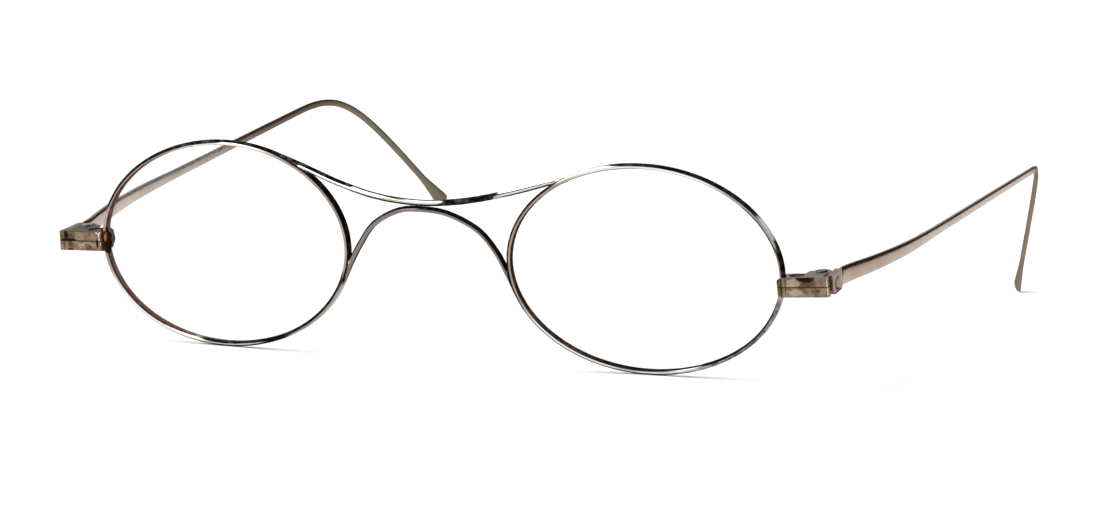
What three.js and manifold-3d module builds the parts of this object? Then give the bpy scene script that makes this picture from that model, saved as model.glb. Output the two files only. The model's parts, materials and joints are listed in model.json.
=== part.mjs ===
// Antique wire spectacles: two grooved oval eyewires, a crossed bridge of two wires,
// screwed two-part end pieces and folding temples with bent-down ends.
// Millimetres, +Z up, the front faces -Y. Left and right are as seen from the front.
import * as THREE from "three";
import { mergeVertices } from "three/addons/utils/BufferGeometryUtils.js";
import Module from "manifold-3d";

const wasm = await Module();
wasm.setup();

const rad = THREE.MathUtils.degToRad;
const at = (x, y, z) => new THREE.Vector3(x, y, z);
const UP = at(0, 0, 1);
const BACK = at(0, 1, 0);

// Eyewires: an ellipse through the middle of the wire
const EYE_HALF_WIDTH = 18.5;
const EYE_HALF_HEIGHT = 13.6;
const NOSE_GAP = 23;
const EYE_CENTRE_X = NOSE_GAP / 2 + EYE_HALF_WIDTH;
const SWEEP_BACK = rad(4.9);
const DROOP = rad(3.2);
const RIM_RADIAL = 0.6;
const RIM_DEPTH = 1.3;
const RIM_CHAMFER = 0.1;
const GROOVE_DEPTH = 0.32;
const GROOVE_MOUTH = 0.68;
const GROOVE_FLOOR = 0.1;
const RIM_GAP = 0.1;
const RIM_STEPS = 70;

// Lenses: flat glass with a bevelled edge that runs in the groove
const LENS_THICK = 0.9;
const LENS_PLAY = 0.06;

// Bridge: a dipped upper wire over a nose arch. Each runs from its crest beside the rim and lands on it,
// with shares of the way across, back and up or down where it bends
const BRIDGE_HIGH = 0.84;
const BRIDGE_DEEP = 1;
const ARCH_HIGH = 0.8;
const ARCH_DEEP = 1.1;
const SOLDER_GAP = 0.02;
const ARCH_CREST = 7.08;
const CREST_Y = -1.5;
const BRIDGE_DIP = ARCH_CREST + (ARCH_HIGH + BRIDGE_HIGH) / 2 + SOLDER_GAP;
const BRIDGE_SHARES = [[0.333, 0.033, 0.153], [0.667, 0.5, 0.5]];
const BRIDGE_BESIDE = rad(131.3);
const BRIDGE_LANDING = rad(120.3);
const ARCH_SHARES = [[0.293, 0.35, 0.061], [0.658, 0.775, 0.328], [0.862, 1, 0.67]];
const ARCH_BESIDE = rad(190.1);
const ARCH_LANDING = rad(201.8);
const WIRE_STEPS = 56;

// End pieces: an upper and a lower half closed on the wire ends. They are shaped about the end of the
// wire, with the split at zero height, and seated on it afterwards
const BLOCK_HIGH = 2.6;
const BLOCK_TOP = BLOCK_HIGH / 2;
const BLOCK_BOTTOM = -BLOCK_TOP;
const FRONT_LIP = 0.25;
const BLOCK_FRONT = -RIM_DEPTH / 2 - FRONT_LIP;
const SPLIT_GAP = 0.04;
const FRONT_WALL = 1;
const LUG_RADIUS = 1.3;
const BLOCK_DEEP = 2.8;
const PLATE_STEP = 2.5;
const PLATE_DEEP = 4.25;
const TAB_REACH = 0.48;
const TAB_SHORT = 0.1;
const TAB_ROUND = 0.45;

// Hinges: a tongue between the two halves, turning on a slotted screw
const HINGE_X = 4.28;
const HINGE_BEHIND = 4.06;
const HINGE_Y = BLOCK_FRONT + HINGE_BEHIND;
const TONGUE_THICK = 1;
const TONGUE_RADIUS = 1.2;
const NECK_FRONT = 0.6;
const SLOT_PLAY = 0.05;
const PIN_RADIUS = 0.5;
const PIN_PLAY = 0.03;
const HINGE_HEAD_RADIUS = 0.78;
const HINGE_HEAD_HIGH = 0.3;

// Closing screws that pull the halves together
const CLOSING_X = 1.85;
const CLOSING_BEHIND = 1.5;
const CLOSING_Y = BLOCK_FRONT + CLOSING_BEHIND;
const CLOSING_RADIUS = 0.45;
const CLOSING_HEAD_RADIUS = 0.8;
const CLOSING_HEAD_HIGH = 0.4;
const COUNTERBORE_RADIUS = 1;
const COUNTERBORE_DEPTH = 0.55;
const SCREW_PLAY = 0.02;
const SCREW_SHORT = 0.15;
const DRIVER_SLOT_WIDE = 0.26;
const DRIVER_SLOT_DEEP = 0.16;
const DRIVER_SLOT_TURN = rad(20);

// Temples: a tapering strip, a bend and a flattened tip
const SHOULDER_THICK = 0.85;
const SHOULDER_PLAY = 0.05;
const SHOULDER_REACH = 1.7;
const SHOULDER_BACK = HINGE_Y + SHOULDER_REACH;
const BLOCK_OUTER = HINGE_X + LUG_RADIUS + SHOULDER_PLAY + SHOULDER_THICK;
const SHOULDER_ROUND = 0.9;
const STRIP_HIGH = 2.45;
const BOW_START = 4;
const BOW_END = 30;
const BOW_OUT = rad(12.7);
const BOW_REST = rad(0.8);
const TAPER_END = 38;
const HOOK_EASE = 0.143;
const WIRE_HIGH = 0.95;
const WIRE_THICK = 0.5;
const MID_HIGH = 1.3;
const BEND_THICK = 0.62;
const TIP_LENGTH = 4.5;
const TIP_HIGH = 2.2;

// How the old pair has been bent: where round the eye each rim ends, how far its end piece tips up, how
// long the strip runs before the bend, how far the bend leads on and where the tip lies from the end of
// the strip, as inwards, back and up.
// In the photograph the right temple is a little closed and lower than the left, and bent more sharply
const LEFT_END = 0;
const RIGHT_END = rad(-1.95);
const LEFT_TIP_UP = rad(-1.9);
const RIGHT_TIP_UP = rad(3.6);
const LEFT_STRIP = 79.5;
const RIGHT_STRIP = 92.6;
const LEFT_LEAD = 16.9;
const RIGHT_LEAD = 3;
const LEFT_HOOK_IN = 9.1;
const LEFT_HOOK_BACK = 29.4;
const LEFT_HOOK_DROP = 19.1;
const RIGHT_HOOK_IN = 7.6;
const RIGHT_HOOK_BACK = 15.2;
const RIGHT_HOOK_DROP = 19.1;
const LEFT_HOOK = at(LEFT_HOOK_IN, LEFT_HOOK_BACK, -LEFT_HOOK_DROP);
const RIGHT_HOOK = at(RIGHT_HOOK_IN, RIGHT_HOOK_BACK, -RIGHT_HOOK_DROP);
const LEFT_TURN = 0;
const RIGHT_TURN = rad(6.1);
const LEFT_RISE = rad(0.9);
const RIGHT_RISE = rad(-2.45);
const MOST_LEAN = rad(20);

const STEEL = { color: "#b8ab9c", roughness: 0.28, metalness: 1 };
const STAINED = { color: "#a08c74", roughness: 0.45, metalness: 0.9 };
const DARK_STEEL = { color: "#77736a", roughness: 0.35, metalness: 1 };
const GLASS = { color: "#eef3f1", roughness: 0.05, metalness: 0, transparent: true, opacity: 0.15 };

const group = new THREE.Group();
group.name = "antique_spectacles";

// Skin over a row of rings with flat ends, wound outwards
function loft(rings, endOutline) {
  const count = rings[0].length;
  const last = (rings.length - 1) * count;
  const index = [];
  for (let i = 0; i < rings.length - 1; i++) {
    for (let j = 0; j < count; j++) {
      const a = i * count + j;
      const b = i * count + ((j + 1) % count);
      index.push(a, b, b + count, a, b + count, a + count);
    }
  }
  for (const [a, b, c] of THREE.ShapeUtils.triangulateShape(endOutline, [])) {
    index.push(c, b, a, last + a, last + b, last + c);
  }
  const geometry = new THREE.BufferGeometry().setFromPoints(rings.flat());
  geometry.setIndex(index);
  return volume(geometry) < 0 ? flipped(geometry) : geometry;
}

function volume(geometry) {
  const points = geometry.attributes.position;
  const index = geometry.index.array;
  const corner = (k) => new THREE.Vector3().fromBufferAttribute(points, index[k]);
  let sum = 0;
  for (let k = 0; k < index.length; k += 3) {
    sum += corner(k).dot(corner(k + 1).cross(corner(k + 2))) / 6;
  }
  return sum;
}

function flipped(geometry) {
  const index = Array.from(geometry.index.array);
  geometry.setIndex(index.reverse());
  return geometry;
}

function mirrored(geometry) {
  return flipped(geometry.clone().scale(-1, 1, 1));
}

function solid(geometry) {
  const bare = geometry.clone();
  bare.deleteAttribute("normal");
  bare.deleteAttribute("uv");
  const merged = mergeVertices(bare, 1e-5);
  const mesh = new wasm.Mesh({
    numProp: 3,
    vertProperties: new Float32Array(merged.attributes.position.array),
    triVerts: new Uint32Array(merged.index.array),
  });
  return new wasm.Manifold(mesh);
}

function surface(body) {
  const mesh = body.getMesh();
  const geometry = new THREE.BufferGeometry();
  geometry.setAttribute("position", new THREE.BufferAttribute(mesh.vertProperties, 3));
  geometry.setIndex(new THREE.BufferAttribute(mesh.triVerts, 1));
  return geometry;
}

function cut(geometry, ...tools) {
  return surface(tools.reduce((body, tool) => body.subtract(solid(tool)), solid(geometry)));
}

function join(...pieces) {
  return surface(pieces.map(solid).reduce((body, piece) => body.add(piece)));
}

function box(x0, x1, y0, y1, z0, z1) {
  const geometry = new THREE.BoxGeometry(x1 - x0, y1 - y0, z1 - z0);
  return geometry.translate((x0 + x1) / 2, (y0 + y1) / 2, (z0 + z1) / 2);
}

function upright(x, y, radius, z0, z1, sides = 28) {
  const geometry = new THREE.CylinderGeometry(radius, radius, z1 - z0, sides);
  return geometry.rotateX(Math.PI / 2).translate(x, y, (z0 + z1) / 2);
}

function slab(shape, z0, z1) {
  const settings = { depth: z1 - z0, bevelEnabled: false, curveSegments: 8 };
  return new THREE.ExtrudeGeometry(shape, settings).translate(0, 0, z0);
}

function oval(wide, high, sides = 12) {
  const turn = (k) => (2 * Math.PI * k) / sides;
  const point = (k) => new THREE.Vector2((wide / 2) * Math.cos(turn(k)), (high / 2) * Math.sin(turn(k)));
  return Array.from({ length: sides }, (_, k) => point(k));
}

// Right eye plane: a point on the eyewire ellipse, moved outwards and back
function eyePoint(turn, outwards, back) {
  const normal = new THREE.Vector2(
    Math.cos(turn) * EYE_HALF_HEIGHT,
    Math.sin(turn) * EYE_HALF_WIDTH,
  ).normalize();
  const flat = new THREE.Vector2(EYE_HALF_WIDTH * Math.cos(turn), EYE_HALF_HEIGHT * Math.sin(turn));
  flat.addScaledVector(normal, outwards).rotateAround(new THREE.Vector2(), -DROOP);
  const point = at(EYE_CENTRE_X + flat.x, back, flat.y);
  return point.applyAxisAngle(UP, SWEEP_BACK);
}

// A wire section given as (outwards, back) pairs, swept round the eye from end to end
function eyeSweep(section, gap, end) {
  const start = gap / 2 / EYE_HALF_HEIGHT;
  const rings = [];
  for (let k = 0; k <= RIM_STEPS; k++) {
    const turn = start + ((2 * Math.PI - 2 * start) * k) / RIM_STEPS;
    rings.push(section.map((p) => eyePoint(end + turn, p.x, p.y)));
  }
  return loft(rings, section);
}

function rimSection() {
  const r = RIM_RADIAL / 2;
  const d = RIM_DEPTH / 2;
  const floor = GROOVE_DEPTH - r;
  const half = [
    [r, d / 2],
    [r - RIM_CHAMFER, d - RIM_CHAMFER],
    [0, d],
    [RIM_CHAMFER - r, d],
    [-r, d - RIM_CHAMFER],
    [-r, GROOVE_MOUTH / 2],
    [floor, GROOVE_FLOOR / 2],
  ];
  const back = half.map(([x, y]) => new THREE.Vector2(x, y));
  const front = half.map(([x, y]) => new THREE.Vector2(x, -y)).reverse();
  return [...back, ...front];
}

// The room the wire takes up, so that soldered neighbours can be cut to it
function rimRoom(end) {
  const r = RIM_RADIAL / 2 + SOLDER_GAP;
  const d = RIM_DEPTH / 2 + SOLDER_GAP;
  const section = [
    new THREE.Vector2(r, -d),
    new THREE.Vector2(r, d),
    new THREE.Vector2(-1, d),
    new THREE.Vector2(-1, -d),
  ];
  return eyeSweep(section, SPLIT_GAP / 2, end);
}

function lens() {
  const edge = -RIM_RADIAL / 2 - LENS_PLAY;
  const apex = edge + GROOVE_DEPTH;
  const bevel = GROOVE_MOUTH / 2 - SOLDER_GAP * 2;
  const land = GROOVE_FLOOR / 2 - SOLDER_GAP;
  const profile = [
    [edge, -LENS_THICK / 2],
    [edge, -bevel],
    [apex, -land],
    [apex, land],
    [edge, bevel],
    [edge, LENS_THICK / 2],
  ];
  const turns = Array.from({ length: RIM_STEPS }, (_, k) => (2 * Math.PI * k) / RIM_STEPS);
  const rings = profile.map(([outwards, back]) => turns.map((turn) => eyePoint(turn, outwards, back)));
  return loft(rings, rings[0].map((p) => new THREE.Vector2(p.x, p.z)));
}

// Points of a bridge wire's right half, from its crest to the middle of the rim wire
function halfWire(crest, shares, high, beside, landing) {
  const touch = eyePoint(beside, high / 2, 0);
  const way = touch.clone().sub(crest);
  const bends = shares.map((share) => crest.clone().add(at(...share).multiply(way)));
  return [crest, ...bends, touch, eyePoint(landing, 0, 0)];
}

// A wire along mirrored points, with its depth held level
function bridgeWire(halfPoints, high, deep) {
  const left = halfPoints.slice(1).reverse().map((p) => at(-p.x, p.y, p.z));
  const curve = new THREE.CatmullRomCurve3([...left, ...halfPoints]);
  const section = oval(high, deep);
  const rings = [];
  for (let k = 0; k <= WIRE_STEPS; k++) {
    const tangent = curve.getTangent(k / WIRE_STEPS);
    const depth = BACK.clone().addScaledVector(tangent, -BACK.dot(tangent)).normalize();
    const side = depth.clone().cross(tangent);
    const middle = curve.getPoint(k / WIRE_STEPS);
    const place = (p) => middle.clone().addScaledVector(side, p.x).addScaledVector(depth, p.y);
    rings.push(section.map(place));
  }
  return cut(loft(rings, section), rimRoom(RIGHT_END), mirrored(rimRoom(LEFT_END)));
}

// Plan of a right end piece: block, front wall, hinge plate and rounded lug
function blockShape() {
  const wallBack = BLOCK_FRONT + FRONT_WALL;
  const shape = new THREE.Shape();
  shape.moveTo(0, BLOCK_FRONT);
  shape.lineTo(BLOCK_OUTER, BLOCK_FRONT);
  shape.lineTo(BLOCK_OUTER, wallBack);
  shape.lineTo(HINGE_X + LUG_RADIUS, wallBack);
  shape.absarc(HINGE_X, HINGE_Y, LUG_RADIUS, 0, rad(110), false);
  shape.lineTo(PLATE_STEP, BLOCK_FRONT + PLATE_DEEP);
  shape.lineTo(PLATE_STEP, BLOCK_FRONT + BLOCK_DEEP);
  shape.lineTo(0, BLOCK_FRONT + BLOCK_DEEP);
  return shape;
}

// Tab of an end piece, with up as 1 for the upper half and -1 for the lower: a thin lip with a round
// corner that covers the front of the wire
function tab(up) {
  const split = (up * SPLIT_GAP) / 2;
  const end = up * (BLOCK_TOP - TAB_SHORT);
  const shape = new THREE.Shape();
  shape.moveTo(TAB_ROUND, split);
  shape.lineTo(TAB_ROUND, end);
  const cornerX = TAB_ROUND - TAB_REACH;
  shape.absarc(cornerX, end - up * TAB_ROUND, TAB_ROUND, (up * Math.PI) / 2, up * Math.PI, up < 0);
  shape.lineTo(-TAB_REACH, split);
  return slab(shape, 0, FRONT_LIP).rotateX(Math.PI / 2).translate(0, BLOCK_FRONT + FRONT_LIP, 0);
}

// Room for the temple tongue between the halves, open behind for its swing
function tongueRoom() {
  const half = TONGUE_THICK / 2 + SLOT_PLAY;
  const radius = TONGUE_RADIUS + SLOT_PLAY;
  const behind = HINGE_Y + LUG_RADIUS * 2;
  const neck = box(HINGE_X, BLOCK_OUTER, HINGE_Y - NECK_FRONT - SLOT_PLAY, behind, -half, half);
  const swing = box(HINGE_X - LUG_RADIUS, HINGE_X, HINGE_Y, behind, -half, half);
  return join(upright(HINGE_X, HINGE_Y, radius, -half, half, 36), neck, swing);
}

function upperHalf() {
  const z0 = SPLIT_GAP / 2;
  const recess = BLOCK_TOP - COUNTERBORE_DEPTH;
  const headRecess = BLOCK_TOP - HINGE_HEAD_HIGH / 2;
  return cut(
    join(slab(blockShape(), z0, BLOCK_TOP), tab(1)),
    tongueRoom(),
    upright(CLOSING_X, CLOSING_Y, CLOSING_RADIUS + SCREW_PLAY, z0 - 1, BLOCK_TOP),
    upright(CLOSING_X, CLOSING_Y, COUNTERBORE_RADIUS, recess, BLOCK_TOP + 1, 36),
    upright(HINGE_X, HINGE_Y, PIN_RADIUS + SCREW_PLAY, z0 - 1, BLOCK_TOP),
    upright(HINGE_X, HINGE_Y, HINGE_HEAD_RADIUS + SCREW_PLAY, headRecess, BLOCK_TOP + 1),
  );
}

function lowerHalf() {
  const z1 = -SPLIT_GAP / 2;
  return cut(
    join(slab(blockShape(), BLOCK_BOTTOM, z1), tab(-1)),
    tongueRoom(),
    upright(CLOSING_X, CLOSING_Y, CLOSING_RADIUS + SCREW_PLAY, BLOCK_BOTTOM - 1, z1 + 1),
    upright(HINGE_X, HINGE_Y, PIN_RADIUS + SCREW_PLAY, BLOCK_BOTTOM - 1, z1 + 1),
  );
}

function screw(x, y, shankRadius, headRadius, headBottom, headHigh) {
  const headTop = headBottom + headHigh;
  const shank = upright(x, y, shankRadius, BLOCK_BOTTOM + SCREW_SHORT, headBottom + headHigh / 2);
  const head = upright(x, y, headRadius, headBottom, headTop);
  const slot = box(
    -headRadius * 2, headRadius * 2,
    -DRIVER_SLOT_WIDE / 2, DRIVER_SLOT_WIDE / 2, headTop - DRIVER_SLOT_DEEP, headTop + 1,
  );
  return cut(join(shank, head), slot.rotateZ(DRIVER_SLOT_TURN).translate(x, y, 0));
}

function closingScrew() {
  const seat = BLOCK_TOP - COUNTERBORE_DEPTH + SCREW_PLAY;
  return screw(CLOSING_X, CLOSING_Y, CLOSING_RADIUS, CLOSING_HEAD_RADIUS, seat, CLOSING_HEAD_HIGH);
}

function hingeScrew() {
  const seat = BLOCK_TOP - HINGE_HEAD_HIGH / 2 + SCREW_PLAY;
  return screw(HINGE_X, HINGE_Y, PIN_RADIUS, HINGE_HEAD_RADIUS, seat, HINGE_HEAD_HIGH);
}

// Shoulder plate seen from the side, with round lower corners
function shoulder() {
  const front = BLOCK_FRONT + FRONT_WALL + SHOULDER_PLAY;
  const shape = new THREE.Shape();
  shape.moveTo(front, BLOCK_TOP);
  shape.lineTo(front, BLOCK_BOTTOM + SHOULDER_ROUND);
  const low = BLOCK_BOTTOM + SHOULDER_ROUND;
  shape.absarc(front + SHOULDER_ROUND, low, SHOULDER_ROUND, Math.PI, Math.PI * 1.5, false);
  shape.absarc(SHOULDER_BACK - SHOULDER_ROUND, low, SHOULDER_ROUND, Math.PI * 1.5, Math.PI * 2, false);
  shape.lineTo(SHOULDER_BACK, BLOCK_TOP);
  const plate = slab(shape, 0, SHOULDER_THICK);
  const turned = new THREE.Matrix4().makeBasis(BACK, UP, at(1, 0, 0));
  return plate.applyMatrix4(turned).translate(BLOCK_OUTER - SHOULDER_THICK, 0, 0);
}

function knuckle() {
  const half = TONGUE_THICK / 2;
  const neck = box(
    HINGE_X, BLOCK_OUTER - SHOULDER_THICK / 2,
    HINGE_Y - NECK_FRONT, HINGE_Y + TONGUE_RADIUS, -half, half,
  );
  const tongue = upright(HINGE_X, HINGE_Y, TONGUE_RADIUS, -half, half, 36);
  const hole = upright(HINGE_X, HINGE_Y, PIN_RADIUS + PIN_PLAY, -half - 1, half + 1, 36);
  return cut(join(tongue, neck, shoulder()), hole);
}

// Heading of the strip, outwards from straight back, at a length along it
function heading(length) {
  if (length < BOW_START) return (BOW_OUT * length) / BOW_START;
  const share = Math.min((length - BOW_START) / (BOW_END - BOW_START), 1);
  return BOW_OUT + (BOW_REST - BOW_OUT) * share;
}

function stripDirection(length, rise) {
  const level = heading(length);
  const climb = rise * Math.min(length / BOW_START, 1);
  return at(Math.sin(level) * Math.cos(climb), Math.cos(level) * Math.cos(climb), Math.sin(climb));
}

// Stations of a right temple: place, direction, height and thickness
function templeStations({ rise, strip, lead, hook }) {
  const stations = [];
  const place = at(BLOCK_OUTER - SHOULDER_THICK / 2, SHOULDER_BACK + SOLDER_GAP, BLOCK_TOP - STRIP_HIGH / 2);
  const step = strip / 40;
  for (let k = 0; k <= 40; k++) {
    const length = k * step;
    if (k > 0) place.addScaledVector(stripDirection(length - step / 2, rise), step);
    const high = length < TAPER_END
      ? STRIP_HIGH + ((MID_HIGH - STRIP_HIGH) * length) / TAPER_END
      : MID_HIGH + ((WIRE_HIGH - MID_HIGH) * (length - TAPER_END)) / (strip - TAPER_END);
    const thick = SHOULDER_THICK + ((BEND_THICK - SHOULDER_THICK) * length) / strip;
    stations.push({ place: place.clone(), along: stripDirection(length, rise), high, thick });
  }
  return [...stations, ...hookStations(place, stripDirection(strip, rise), lead, hook)];
}

function hookStations(start, along, lead, hook) {
  const inwards = UP.clone().cross(along).normalize();
  const corner = start.clone().addScaledVector(along, lead);
  const tip = start.clone().addScaledVector(inwards, hook.x).addScaledVector(along, hook.y);
  tip.z += hook.z;
  const curve = new THREE.CubicBezierCurve3(start, corner, corner.clone().lerp(tip, HOOK_EASE), tip);
  const total = curve.getLength();
  const stations = [];
  for (let k = 1; k <= 24; k++) {
    const share = k / 24;
    const left = (1 - share) * total;
    const thin = Math.min(share * 2, 1);
    const fan = Math.max(1 - left / TIP_LENGTH, 0);
    stations.push({
      place: curve.getPointAt(share),
      along: curve.getTangentAt(share),
      high: WIRE_HIGH + (TIP_HIGH - WIRE_HIGH) * fan,
      thick: BEND_THICK + (WIRE_THICK - BEND_THICK) * thin,
    });
  }
  return [...stations, ...roundEnd(stations.at(-1))];
}

function roundEnd(last) {
  return [0.45, 0.8, 0.97].map((share) => ({
    place: last.place.clone().addScaledVector(last.along, (TIP_HIGH / 4) * share),
    along: last.along,
    high: TIP_HIGH * Math.sqrt(1 - share * share),
    thick: WIRE_THICK,
  }));
}

function temple(bends) {
  const section = [[1, 0.7], [0.7, 1], [-0.7, 1], [-1, 0.7], [-1, -0.7], [-0.7, -1], [0.7, -1], [1, -0.7]]
    .map(([x, y]) => new THREE.Vector2(x / 2, y / 2));
  const rings = templeStations(bends).map(({ place, along, high, thick }) => {
    const side = along.clone().cross(UP).normalize();
    const rising = side.clone().cross(along);
    return section.map((p) => place.clone()
      .addScaledVector(side, p.x * thick)
      .addScaledVector(rising, p.y * high));
  });
  return loft(rings, section);
}

function folded(geometry, turn) {
  return geometry.translate(-HINGE_X, -HINGE_Y, 0).rotateZ(turn).translate(HINGE_X, HINGE_Y, 0);
}

// Tip an end piece, or what it carries, and set it on the end of the right rim
function seated(geometry, end, tipUp) {
  const { x, y, z } = eyePoint(end, 0, 0);
  return geometry.rotateY(-tipUp).translate(x, y, z);
}

function add(name, geometry, finish) {
  const mesh = new THREE.Mesh(geometry, new THREE.MeshStandardMaterial(finish));
  mesh.name = name;
  group.add(mesh);
}

const bridgeCrest = at(0, CREST_Y, BRIDGE_DIP);
const bridgeHalf = halfWire(bridgeCrest, BRIDGE_SHARES, BRIDGE_HIGH, BRIDGE_BESIDE, BRIDGE_LANDING);
add("bridge_wire", bridgeWire(bridgeHalf, BRIDGE_HIGH, BRIDGE_DEEP), STEEL);
const archCrest = at(0, CREST_Y, ARCH_CREST);
const archHalf = halfWire(archCrest, ARCH_SHARES, ARCH_HIGH, ARCH_BESIDE, ARCH_LANDING);
add("nose_arch", bridgeWire(archHalf, ARCH_HIGH, ARCH_DEEP), STEEL);
const leftBends = { rise: LEFT_RISE, strip: LEFT_STRIP, lead: LEFT_LEAD, hook: LEFT_HOOK };
const rightBends = { rise: RIGHT_RISE, strip: RIGHT_STRIP, lead: RIGHT_LEAD, hook: RIGHT_HOOK };
const left = { end: LEFT_END, tipUp: LEFT_TIP_UP, turn: LEFT_TURN, bends: leftBends };
const right = { end: RIGHT_END, tipUp: RIGHT_TIP_UP, turn: RIGHT_TURN, bends: rightBends };
for (const [side, { end, tipUp, turn, bends }] of Object.entries({ left, right })) {
  const sided = (geometry) => (side === "left" ? mirrored(geometry) : geometry);
  const seat = (geometry) => seated(geometry, end, tipUp);
  add(`${side}_eyewire`, sided(eyeSweep(rimSection(), RIM_GAP, end)), STEEL);
  add(`${side}_lens`, sided(lens()), GLASS);
  add(`${side}_upper_end_piece`, sided(cut(seat(upperHalf()), rimRoom(end))), STAINED);
  add(`${side}_lower_end_piece`, sided(cut(seat(lowerHalf()), rimRoom(end))), STAINED);
  add(`${side}_closing_screw`, sided(seat(closingScrew())), DARK_STEEL);
  add(`${side}_hinge_screw`, sided(seat(hingeScrew())), DARK_STEEL);
  add(`${side}_knuckle`, sided(seat(folded(knuckle(), turn))), STAINED);
  add(`${side}_temple`, sided(seat(folded(temple(bends), turn))), STEEL);
}

function lowest(name, lean) {
  const geometry = group.getObjectByName(name).geometry.clone().rotateX(lean);
  return new THREE.Box3().setFromBufferAttribute(geometry.attributes.position).min.z;
}

// The lean at which the rims and the right temple tip are level, found by halving
function standingLean() {
  let least = 0;
  let most = MOST_LEAN;
  for (let k = 0; k < 30; k++) {
    const lean = (least + most) / 2;
    if (lowest("right_temple", lean) > lowest("right_eyewire", lean)) most = lean;
    else least = lean;
  }
  return least;
}

// Stand it on the rims and a temple tip, with the middle of its footprint at the origin
const lean = standingLean();
for (const mesh of group.children) mesh.geometry.rotateX(lean);
const bounds = new THREE.Box3().setFromObject(group);
const middle = bounds.getCenter(new THREE.Vector3());
for (const mesh of group.children) mesh.geometry.translate(-middle.x, -middle.y, -bounds.min.z);

export default group;
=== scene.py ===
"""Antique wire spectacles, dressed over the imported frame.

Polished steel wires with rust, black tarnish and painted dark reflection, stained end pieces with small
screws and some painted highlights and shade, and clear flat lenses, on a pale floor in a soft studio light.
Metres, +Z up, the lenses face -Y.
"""

import json
import math

import bmesh
import bpy
from mathutils import Matrix, Vector, noise

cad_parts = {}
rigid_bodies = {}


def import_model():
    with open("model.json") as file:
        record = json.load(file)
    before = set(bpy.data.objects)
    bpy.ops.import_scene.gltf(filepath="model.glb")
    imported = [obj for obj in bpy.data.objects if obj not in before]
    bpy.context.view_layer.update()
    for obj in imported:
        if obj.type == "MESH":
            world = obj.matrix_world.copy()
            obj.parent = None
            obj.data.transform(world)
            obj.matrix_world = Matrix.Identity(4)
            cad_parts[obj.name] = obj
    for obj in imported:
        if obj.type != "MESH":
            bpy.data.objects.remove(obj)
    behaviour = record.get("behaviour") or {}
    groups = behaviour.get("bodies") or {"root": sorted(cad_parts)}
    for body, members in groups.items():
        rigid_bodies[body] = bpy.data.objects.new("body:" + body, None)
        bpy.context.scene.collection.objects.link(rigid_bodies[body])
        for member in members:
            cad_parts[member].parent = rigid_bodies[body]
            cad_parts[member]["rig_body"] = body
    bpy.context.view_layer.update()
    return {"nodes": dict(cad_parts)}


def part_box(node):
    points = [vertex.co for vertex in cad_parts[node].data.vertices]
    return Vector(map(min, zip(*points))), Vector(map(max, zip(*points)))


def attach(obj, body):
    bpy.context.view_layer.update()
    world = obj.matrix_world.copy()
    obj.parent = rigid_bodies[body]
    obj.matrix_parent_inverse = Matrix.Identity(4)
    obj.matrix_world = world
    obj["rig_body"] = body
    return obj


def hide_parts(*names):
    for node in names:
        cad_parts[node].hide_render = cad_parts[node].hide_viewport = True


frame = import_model()
MM = 0.001
FAR = 1000
SIDES = ("left", "right")

# The photograph's camera
CAMERA_PLACE = (0.38614, -0.94351, 0.12175)
CAMERA_AZIMUTH = 22.437
CAMERA_ELEVATION = 6.354
CAMERA_ROLL = 0.95
CAMERA_LENS = 239.14
CAMERA_NEAREST = 0.01
SENSOR_WIDTH = 36

# Studio: the left half of a dim room is one broad soft light
LIGHT_COLOUR = (1.0, 0.99, 0.98)
LIGHT_STRENGTH = 4.7
LIGHT_EDGE = -0.31
LIGHT_SOFT = 0.02
ROOM_STRENGTH = 0.02
BACKDROP_STRENGTH = 1.1
FLOOR_SIZE = 5
FLOOR_DROP = 0.02 * MM

# Cards: azimuth from the front, elevation, half width, half height and soft edge in degrees, and strength
CARDS = {
    "low_front": (20, 6, 45, 9, 6, 0.5),
    "left_flag": (-108, 12, 15, 20, 6, 0.02),
    "back_flag": (-160, 14, 12, 14, 6, 0.5),
    "right_spot": (114, 35, 7, 7, 5, 3.0),
}

# The frame's own sizes that the finish is laid out by, in millimetres and degrees
EYE_HALF_WIDTH = 18.5
EYE_HALF_HEIGHT = 13.6
FRAME_LEAN = 6.2615
END_TIP_UP = {"left": -1.9, "right": 3.6}
CLOSING_SCREW_MIDDLE = (1.85, 0.6, 0.01)
BLOCK_FRONT = -0.9
BLOCK_TOP = 1.3

# Inner corners of the rim wire, worn round: how far inside they begin, and their new depths from the middle
WORN_FRONT_FROM = -0.12
WORN_SIDE_FROM = -0.25
WORN_FRONT_DEPTH = 0.61
WORN_SIDE_DEPTH = 0.52

# Meshes: angles in degrees, and how much of a wire's roundness smoothing takes off
WELD = 1e-3 * MM
QUAD_FACE_ANGLE = 30
QUAD_SHAPE_ANGLE = 50
FLAT_ANGLE = 1
SMOOTH_LEVELS = 2
SMOOTHING_LOSS = 2 / 3
BEVEL_ANGLE = 28
BEVEL_SEGMENTS = 3
PLATE_BEVEL = 0.07 * MM
SCREW_BEVEL = 0.03 * MM

# Arcs on the rims: middle and half length in degrees from the outer end over the top, and amount
ARC_SOFT = 18
RIM_RUST = {
    "left": ((30, 34, 1.0), (74, 26, 0.38), (332, 36, 0.9), (288, 24, 0.44), (258, 30, 0.3), (120, 60, 0.25)),
    "right": ((172, 44, 1.0), (236, 26, 0.42), (270, 20, 0.6), (0, 20, 0.6)),
}
RIM_COOL = {"left": (), "right": ((322, 30, 1.0),)}
RIM_BRIGHT = {
    "left": ((312, 26, 0.9), (262, 20, 0.3), (94, 18, 0.8)),
    "right": ((236, 24, 0.8), (280, 14, 0.7), (108, 16, 0.7), (78, 18, 0.8)),
}
RIM_GLINT = {"left": (), "right": ((31, 11, 1.0),)}
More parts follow.
